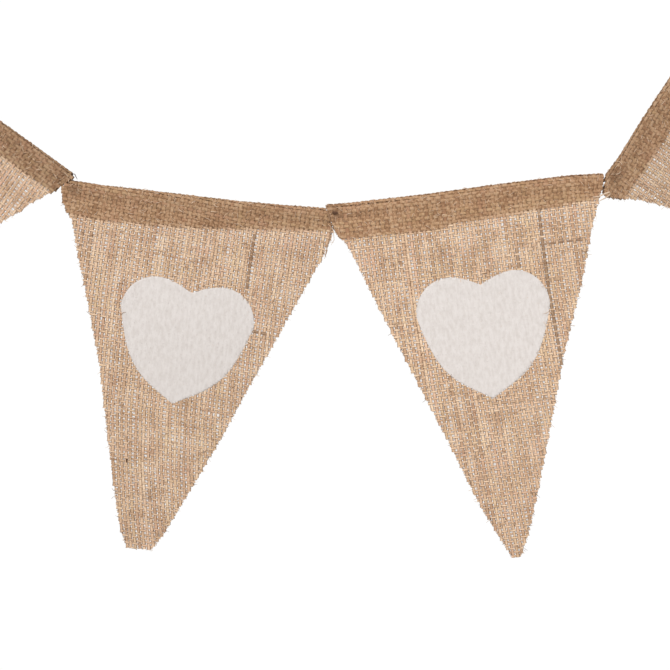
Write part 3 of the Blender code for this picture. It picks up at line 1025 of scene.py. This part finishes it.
def paint_film(hang, grid):
    """Fill the weave's holes inside the heart. The film ends on the heart's outline."""
    fine = np.empty((2 * grid.shape[0] - 1, 2 * grid.shape[1] - 1, 2))
    fine[::2, ::2] = grid
    fine[1::2, ::2] = (grid[1:] + grid[:-1]) / 2
    fine[:, 1::2] = (fine[:, 2::2] + fine[:, :-2:2]) / 2
    flat = fine.reshape(-1, 2)
    height = np.full(fine.shape[:2], FILM_HEIGHT)
    height[1::2, 1::2] = FILM_SUNK
    depth = in_heart(hang.name, flat[:, 0], down_of(flat[:, 1]))
    depth[flat[:, 1] < FILM_FROM] = -9.0
    number = np.arange(len(flat)).reshape(fine.shape[:2])
    corners = np.stack([number[:-1, :-1], number[1:, :-1], number[1:, 1:], number[:-1, 1:]], axis=-1)
    corners = corners.reshape(-1, 4)
    faces = corners[(depth[corners] > FILM_KEEP).any(axis=1)]
    used, faces = np.unique(faces, return_inverse=True)
    spots = np.column_stack([to_rim(hang.name, flat[used]), height.ravel()[used]])
    mesh = bpy.data.meshes.new(hang.name + "_print")
    mesh.from_pydata(spots * MM, [], faces.reshape(-1, 4).tolist())
    piece = add_piece(hang.name + "_print", mesh)
    lay_flat_mesh(piece, hang)
    mesh.materials.append(paint_finish(hang.name))
    body = piece.modifiers.new("thickness", "SOLIDIFY")
    body.thickness = FILM_THICKNESS * MM
    body.offset = -1.0
    return piece


prints = {}
for hang in PENNANTS:
    prints[hang.name] = paint_film(hang, grids[hang.name])
    print(prints[hang.name].name, len(prints[hang.name].data.polygons), "faces")

# %% [markdown]
# ## Stray fibres
# Jute is hairy. Short fibres lift from the yarns everywhere, and longer ones stick out of the raw sides.
# They are the same thread tree again with three sides, far thinner. A hair system could do it too, but
# plain meshes export.

# %% The fibres' finish, and those listed one by one
FUZZ_HALF = 0.12
# painted shade: fibres in the doubled hem get a dark tone, to match the hem's painted shade
HEM_FIBRE_SHADE = 0.26            # the tone of fibres in the doubled hem


def fuzz_finish():
    finish = Finish("jute_fibre", 0.8)
    finish.drive("Base Color", finish.node("ShaderNodeValToRGB", {0: finish.named("tone")}, stops=(
        (0.0, colour(98, 66, 46)), (1.0, colour(246, 220, 194)), (0.2, colour(150, 114, 84)),
        (0.45, colour(218, 186, 156)))))
    return finish.material


fibre_material = fuzz_finish()
STRAY_HEIGHT = 0.4
Stray = namedtuple("Stray", "cloth spots thick tone")
STRAYS = (
    Stray("pennant_1", ((141.0, 1.5), (142.3, -0.5), (143.2, -1.4), (144.8, -2.2)), 1.7, 0.0),
    Stray("pennant_1", ((139.0, 2.5), (140.6, 0.0), (141.2, -1.6), (140.8, -2.4)), 1.2, 0.1),
    Stray("pennant_2", ((138.6, 10.0), (138.4, 16.5), (137.6, 22.0), (137.2, 26.0)), 3.0, 0.32),
    Stray("pennant_2", ((137.0, 9.0), (140.0, 12.0), (141.0, 17.0), (139.6, 20.0)), 1.6, 0.5),
    Stray("pennant_2", ((134.0, 18.0), (136.4, 19.0), (138.0, 23.0), (137.0, 27.5)), 2.2, 0.4),
    Stray("pennant_2", ((44.0, 144.4), (44.1, 145.4), (44.2, 146.3)), 3.4, 0.0),
    Stray("pennant_3", ((2.2, 5.2), (3.6, 5.7), (5.0, 5.6)), 5.0, 0.0),
    Stray("pennant_3", ((-0.7, 1.5), (0.1, 7.0), (1.0, 12.0)), 4.5, 0.24),
    Stray("pennant_4", ((-8.0, 7.0), (-10.8, 5.0), (-13.2, 3.6), (-15.0, 1.6)), 3.2, 1.0),
    Stray("pennant_4", ((-9.0, 8.0), (-12.0, 6.8), (-14.0, 5.6), (-15.8, 4.8)), 2.4, 0.9),
)
print(len(STRAYS), "fibres are placed by hand")

# %% [markdown]
# The holes of the real cloth are half closed by fluff. Two fibres for each hole lie along the warp yarns
# beside it, the dark one on the left and the pale one on the right, since the light comes from the left.
# Others cross the hole at any angle, and a row of them softens the cut sides.

# %% Fibres in the holes and along the sides
BESIDE_CLOTH, BESIDE_HEM = 0.25, 0.20   # how far beside a hole's middle they lie
HALF_HOLE = 0.6                         # how far along it they reach
LEFT_TONE, RIGHT_TONE = 0.18, 1.0
SIDE_STEP = 0.8
HEM_DEEP = 14               # a fibre along the sides has the hem's tone down to here
FUZZ_IN_HOLES = 4200


def bare(hang, spots):
    """True on the cloth where no paint lies."""
    painted = (in_heart(hang.name, spots[:, 0], down_of(spots[:, 1])) > -0.2) & (spots[:, 1] > 0)
    return inside(hang, spots[:, 0], spots[:, 1]) & ~painted


def fibre(spot, turn, long, bend, heights):
    """One curved fibre, flat, with its height over the cloth as the third number."""
    line = [(*spot, heights[0])]
    for height in heights[1:]:
        turn += bend
        spot = spot + np.array([math.cos(turn), math.sin(turn)]) * long / (len(heights) - 1)
        line.append((*spot, height))
    return line


def fibres_in_holes(hang, grid, rng):
    """Each fibre's points in millimetres, and its tone."""
    a, b, c, d = grid[:-1, :-1], grid[1:, :-1], grid[:-1, 1:], grid[1:, 1:]
    holes, way = ((a + b + c + d) / 4).reshape(-1, 2), ((c + d - a - b) / 2).reshape(-1, 2)
    kept = bare(hang, holes)
    holes, way = holes[kept], way[kept]
    count = len(holes)
    double = down_of(holes[:, 1]) < read(FLAPS[hang.name], holes[:, 0]) + 0.5
    aside = np.column_stack([way[:, 1], -way[:, 0]]) / np.linalg.norm(way, axis=1, keepdims=True)
    out = np.where(double, BESIDE_HEM, BESIDE_CLOTH)[:, None]
    edges = []
    for side, tone in ((-1, LEFT_TONE), (1, RIGHT_TONE)):
        ends = [holes + way * reach + aside * (side * out + rng.normal(0, 0.07, (count, 1)))
                for reach in (-HALF_HOLE, HALF_HOLE)]
        height = rng.uniform(-0.12, 0.06, count)
        tones = np.where(double, HEM_FIBRE_SHADE, tone + rng.normal(0, 0.12, count))
        edges += [([(*p, z), (*q, z)], shade) for p, q, z, shade in zip(*ends, height, tones)]
    return edges, holes[~double]


def fibres_along_sides(hang, rng):
    rows = SIDES[hang.name]
    down = np.arange(1.0, rows[-1][0], SIDE_STEP)
    count = len(down)
    for end in (0, 1):
        edge = read(rows, down, 1 + end) + rng.uniform(0.1, 0.7, count) * (1 - 2 * end)
        slope = np.gradient(read(rows, down, 1 + end), down) + rng.normal(0, 0.22, count)
        half = rng.uniform(0.8, 1.5, count)
        tones = rng.uniform(0.15, 0.7, count)
        for x, y, lean, long, tone in zip(edge, down - STRING_DEPTH + QUARTER, slope, half, tones):
            line = [(x - lean * long, y - long, 0.0), (x + lean * long, y + long, 0.0)]
            yield line, HEM_FIBRE_SHADE if y < HEM_DEEP else tone


def fibres_across_holes(holes, rng):
    for spot in holes[rng.integers(len(holes), size=FUZZ_IN_HOLES)] + rng.normal(0, 0.25, (FUZZ_IN_HOLES, 2)):
        turn, long, height = rng.uniform(0, math.pi), rng.uniform(1.5, 2.3), rng.uniform(-0.2, 0.2)
        start = spot - 0.5 * long * np.array([math.cos(turn), math.sin(turn)])
        yield fibre(start, turn, long, 0.0, [height, height]), rng.uniform(0.3, 1.0)


# %% Fibres that lift from the face and stick out of the sides
FUZZ_ON_FACE = 1400
FUZZ_ON_SIDES = 900
LONG_SHARE = 0.10           # one in ten at the sides is much longer
LONG_TIMES = 2.2
SIDE_ROOT = 0.6             # how far inside the edge they start


def fibres_on_face(hang, rng):
    tries = 4 * FUZZ_ON_FACE
    deepest = SIDES[hang.name][-1][0]
    spots = np.column_stack([rng.uniform(-10, 148, tries), rng.uniform(-18, deepest, tries)])
    for spot in spots[bare(hang, spots)][:FUZZ_ON_FACE]:
        base, lift = rng.uniform(0.0, 0.35), rng.uniform(0.1, 0.6)
        heights = [base, base + 1.1 * lift, base + lift * 0.7]
        turn, long, bend = rng.uniform(0, 2 * math.pi), rng.uniform(1.6, 3.6), rng.normal(0, 0.3)
        yield fibre(spot, turn, long, bend, heights), rng.uniform(0.2, 1.0)


def fibres_out_of_sides(hang, rng):
    rows = SIDES[hang.name]
    deepest = rows[-1][0]
    for _ in range(FUZZ_ON_SIDES):
        down = rng.uniform(3.0, deepest)
        end = rng.integers(0, 2)
        edge = read(rows, down, 1 + end)
        slope = (read(rows, min(down + 2, deepest), 1 + end) - read(rows, max(down - 2, 0), 1 + end)) / 4
        out = math.atan2(-slope, 1.0) if end else math.pi - math.atan2(slope, 1.0)
        at_edge = np.array([edge, down - STRING_DEPTH + QUARTER])
        root = at_edge - SIDE_ROOT * np.array([math.cos(out), math.sin(out)])
        long = rng.uniform(0.5, 1.6) * (LONG_TIMES if rng.uniform() < LONG_SHARE else 1.0)
        turn, bend, heights = out + rng.normal(0, 0.7), rng.normal(0, 0.4), rng.normal(0, 0.15, 3)
        yield fibre(root, turn, long, bend, heights), rng.choice((0.12, 0.5, 0.8))


# %% Grow the fibres
FUZZ_SEED = 80
TAPER = (0.9, 1.0, 0.4)     # a fibre's thickness at its root, near its middle and at its end
HEM_TIMES, CLOTH_TIMES = 2.6, 1.3


def add_fuzz(hang, grid, seed):
    rng = np.random.default_rng(seed)
    fibres, holes = fibres_in_holes(hang, grid, rng)
    for more in (fibres_along_sides(hang, rng), fibres_across_holes(holes, rng),
                 fibres_on_face(hang, rng), fibres_out_of_sides(hang, rng)):
        fibres += list(more)
    times = [HEM_TIMES if tone == HEM_FIBRE_SHADE else CLOTH_TIMES for _, tone in fibres]
    for stray in STRAYS:
        if stray.cloth == hang.name:
            fibres.append(([(*spot, STRAY_HEIGHT) for spot in stray.spots], stray.tone))
            times.append(CLOTH_TIMES * stray.thick)
    lines = [np.array(line) * MM for line, _ in fibres]
    columns = {"over": [np.zeros(len(line)) for line in lines],
               "thick": [np.interp(np.linspace(0, 1, len(line)), (0.0, 0.4, 1.0), TAPER) * k
                         for line, k in zip(lines, times)],
               "tone": [np.full(len(line), tone) for line, (_, tone) in zip(lines, fibres)]}
    sizes = {"Half Width": FUZZ_HALF * MM, "Half Height": FUZZ_HALF * MM, "Ride": 0.0, "Sides": 3,
             "Finish": fibre_material}
    piece = spin(thread_tree, hang.name + "_fibres", lines, columns, sizes)
    lay_flat_mesh(piece, hang)
    return piece


fuzz = {hang.name: add_fuzz(hang, grids[hang.name], FUZZ_SEED + k) for k, hang in enumerate(PENNANTS)}

# %% [markdown]
# ## The string
# The string is jute twine of three strands. It shows only between the hems and at both ends, where a loop
# is tied off with a few wraps. The string needs a real twist, since its ridges catch the light where it
# leaves a hem.

# %% The string's route
TAIL_TO_KNOT = 8.5          # from the end of the last hem
TAIL_TO_HOOK = 19.5
LOOP_HALF_WIDTH = 4.2
LOOP_TIP = 2.6
FREE_END = 9.0
TWIST_PITCH = 6.5
STRING_STEP = 0.8


def place(hang, along, down, depth=0.0):
    """A point beside a hanging pennant, in millimetres."""
    a = math.radians(hang.tilt)
    x = hang.x + along * math.cos(a) + down * math.sin(a)
    z = hang.z + along * math.sin(a) - down * math.cos(a)
    return np.array([x, depth, z])


def smooth_route(points, step):
    """Evenly spaced points on a smooth curve through the given ones, with no overshoot at close ones."""
    p = np.array(points, float)
    p = np.vstack([2 * p[0] - p[1], p, 2 * p[-1] - p[-2]])
    out = []
    for a, b, c, d in zip(p, p[1:], p[2:], p[3:]):
        ta, tb, tc = (max(np.linalg.norm(v), 1e-6) ** 0.5 for v in (b - a, c - b, d - c))
        m1 = ((b - a) / ta - (c - a) / (ta + tb) + (c - b) / tb) * tb
        m2 = ((c - b) / tb - (d - b) / (tb + tc) + (d - c) / tc) * tb
        t = np.linspace(0, 1, 24, endpoint=False)[:, None]
        out.append((2 * t**3 - 3 * t**2 + 1) * b + (t**3 - 2 * t**2 + t) * m1
                   + (3 * t**2 - 2 * t**3) * c + (t**3 - t**2) * m2)
    out.append(p[-2][None])
    fine = np.concatenate(out)
    run = run_of(fine)
    at = np.linspace(0, run[-1], int(run[-1] / step) + 1)
    return np.stack([np.interp(at, run, fine[:, k]) for k in range(3)], axis=1)


def loop_end(hang, start, way):
    """From the hem through the knot, round the loop, back through the knot and out as a short free end."""
    reach = TAIL_TO_HOOK - TAIL_TO_KNOT + LOOP_TIP
    points = []
    for k in range(15):
        turn = 2 * math.pi * k / 14
        out = reach * (1 - math.cos(turn)) / 2
        aside = LOOP_HALF_WIDTH * math.sin(turn) * (0.25 + 0.75 * out / reach) * 1.25
        points.append(place(hang, start + way * out, STRING_DEPTH + aside, 0.7 * math.cos(turn / 2)))
    for k in range(1, 5):
        points.append(place(hang, start - way * k * 0.075 * FREE_END, STRING_DEPTH + k * 0.2375 * FREE_END,
                            -0.7 - 0.2 * k))
    return points


first, last = PENNANTS[0], PENNANTS[-1]
inner = []
for hang in PENNANTS:
    for spot, below in DROPS[hang.name]:
        inner.append(place(hang, spot, STRING_DEPTH + float(read(SAGS[hang.name], spot)) + below))
left_end = loop_end(first, -TAIL_TO_KNOT, -1)
right_end = loop_end(last, last.length + TAIL_TO_KNOT, 1)
route = smooth_route(left_end[::-1] + inner + right_end, STRING_STEP)
print(f"string route {run_of(route)[-1]:.0f} mm in {len(route)} points")

# %% [markdown]
# Each strand could follow a spiral of its own. It is simpler to draw one section of three rings and to turn
# it by a tilt that grows with the length, one Set Curve Tilt node. The wraps of each knot are a second,
# thinner run.

# %% The string tree
def new_string_tree():
    """Inputs: a strand's radius and distance from the middle, how many there are, the pitch, the finish."""
    tree, node, given = new_tree("twisted_string", (("Strand Radius", "Float"), ("Strand Offset", "Float"),
                                                    ("Strands", "Int"), ("Twist Pitch", "Float"),
                                                    ("Finish", "Material")))
    line = node("GeometryNodeMeshToCurve", {"Mesh": given["Geometry"]})
    level = node("GeometryNodeSetCurveNormal", {"Curve": line}, mode="MINIMUM_TWIST")
    run = node("GeometryNodeInputNamedAttribute", {"Name": "run"}, out="Attribute", data_type="FLOAT")
    turns = node("ShaderNodeMath", {0: run, 1: given["Twist Pitch"]}, operation="DIVIDE")
    angle = node("ShaderNodeMath", {0: turns, 1: 2 * math.pi}, operation="MULTIPLY")
    turned = node("GeometryNodeSetCurveTilt", {"Curve": level, "Tilt": angle})
    ring = node("GeometryNodeCurvePrimitiveCircle",
                {"Resolution": given["Strands"], "Radius": given["Strand Offset"]})
    dot = node("GeometryNodeCurvePrimitiveCircle", {"Resolution": 7, "Radius": given["Strand Radius"]})
    sections = node("GeometryNodeInstanceOnPoints", {"Points": ring, "Instance": dot})
    section = node("GeometryNodeRealizeInstances", {"Geometry": sections})
    tubes = node("GeometryNodeCurveToMesh", {"Curve": turned, "Profile Curve": section, "Fill Caps": True})
    return close_tree(tree, node, tubes, given["Finish"])


string_tree = new_string_tree()

# %% [markdown]
# The string in the photograph is redder and darker than the cloth. Small specks of noise stand for its
# short fibres, and slower changes of shade follow the length that each point carries.

# %% The string's finish and mesh
def string_finish():
    finish = Finish("jute_string_finish", 0.85)
    run = finish.named("run")
    where = finish.node("ShaderNodeTexCoord", out="Object")
    specks = finish.noise(where, 900.0, 3.0)
    slow = finish.noise(finish.node("ShaderNodeCombineXYZ", {"X": run * 120}), 1.0, 2.0)
    base = finish.node("ShaderNodeValToRGB", {0: specks * 0.6 + slow * 0.4}, stops=(
        (0.25, colour(116, 74, 50)), (0.75, colour(186, 138, 100))))
    finish.drive("Base Color", base)
    bump = finish.node("ShaderNodeBump", {"Strength": 0.6, "Distance": 0.00015, "Height": specks})
    finish.drive("Normal", bump)
    return finish.material


string_material = string_finish()


def spin_string(name, lines, strand, offset):
    """The string tree over lines in millimetres."""
    columns = {"run": [run_of(line) * MM for line in lines]}
    sizes = {"Strand Radius": strand * MM, "Strand Offset": offset * MM, "Strands": 3,
             "Twist Pitch": TWIST_PITCH * MM, "Finish": string_material}
    return spin(string_tree, name, [line * MM for line in lines], columns, sizes)


WRAPS = 3.2
WRAP_POINTS = 64
WRAP_RADIUS = 1.75
KNOT_LENGTH = 4.6
ROUTE_STRAND = (0.56, 0.50)     # a strand's radius, and its distance from the string's middle
WRAP_STRAND = (0.50, 0.42)      # the same in the wraps


def knot_wraps(hang, along):
    """A little over three close turns of the string round itself."""
    points = []
    for k in range(WRAP_POINTS):
        share = k / (WRAP_POINTS - 1)
        turn = 2 * math.pi * WRAPS * k / (WRAP_POINTS - 1)
        slide = (share - 0.5) * KNOT_LENGTH
        points.append(place(hang, along + slide, STRING_DEPTH + WRAP_RADIUS * math.cos(turn),
                            WRAP_RADIUS * math.sin(turn)))
    return np.array(points)


twine = spin_string("string_twine", [route], *ROUTE_STRAND)
knots = spin_string("string_knots", [knot_wraps(first, -TAIL_TO_KNOT),
                                     knot_wraps(last, last.length + TAIL_TO_KNOT)], *WRAP_STRAND)

# %% [markdown]
# ## Handing the pieces to the frame
# Each woven pennant stands for its CAD solid and rides on the one body. Its cut area and size are
# worked out again, though nothing here uses them. The string is not declared as a free cord, because the
# hems hold it all the way.

# %% Ride and replace
for hang in PENNANTS:
    cloth = woven[hang.name]
    extras = (prints[hang.name], fuzz[hang.name])
    area, size = cut_area(hang)
    for piece in (cloth, *extras):
        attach(piece, "root")
    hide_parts(hang.name)
for piece in (twine, knots):
    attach(piece, "root")
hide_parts("string")
